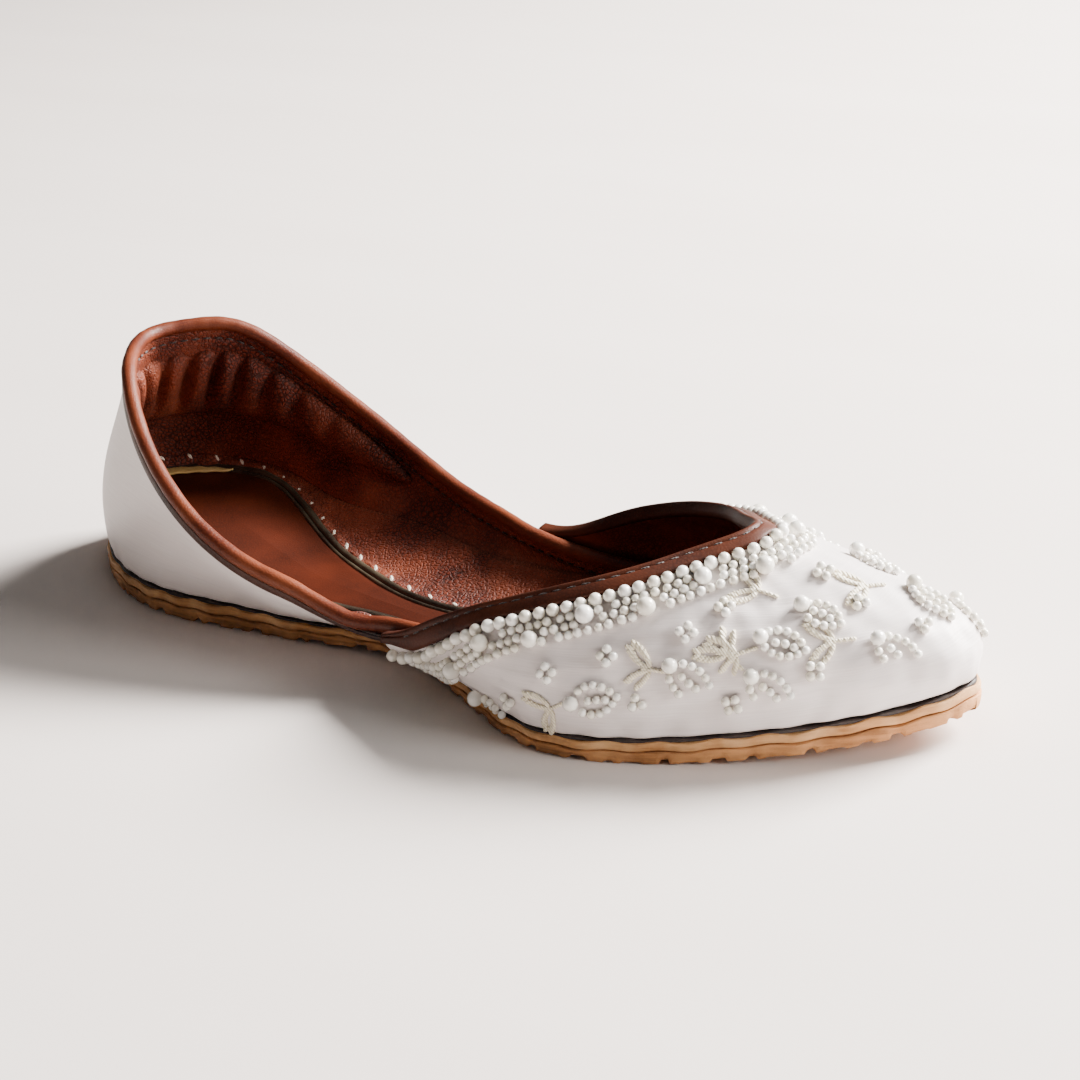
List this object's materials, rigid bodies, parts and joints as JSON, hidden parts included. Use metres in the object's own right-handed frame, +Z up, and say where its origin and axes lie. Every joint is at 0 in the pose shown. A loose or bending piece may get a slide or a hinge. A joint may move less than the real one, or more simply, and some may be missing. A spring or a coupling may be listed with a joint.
{
  "type": "mojari shoe",
  "caption": "Flat slip-on beaded satin jutti with a blunt tapered toe, a cupped heel quarter, rolled leather collar piping and a layered leather sole.",
  "frame": {"origin": "middle of the shoe's box on the floor", "axes": "+X towards the toe, +Y towards the inner side of the foot, +Z up"},
  "size_m": [0.2588, 0.0814, 0.0638],
  "materials": {
    "outsole_leather": "tan sole leather, cut edge, dull",
    "midsole_leather": "tan sole leather, scalloped cut edge, dull",
    "dark_rand": "thin black rand, dull",
    "insole_leather": "smooth cognac sock leather, semi-matt",
    "white_satin": "off-white satin over leather, soft sheen",
    "brown_edge_leather": "rolled brown leather edging, semi-gloss",
    "brown_lining_leather": "grained brown lining leather, semi-matt",
    "pearl_beads": "cream imitation pearls and seed beads, pearly gloss",
    "cream_thread": "cream embroidery and saddle-stitch thread",
    "dark_edge_bead": "dark folded edge of the insole, semi-matt",
    "brown_thread": "dark brown waxed thread"
  },
  "bodies": {
    "root": {"outsole": "outsole_leather", "midsole": "midsole_leather", "rand": "dark_rand", "insole": "insole_leather", "upper": "white_satin", "collar_piping": "brown_edge_leather", "vamp_binding": "brown_edge_leather", "heel_pad": "brown_lining_leather"}
  },
  "joints": []
}
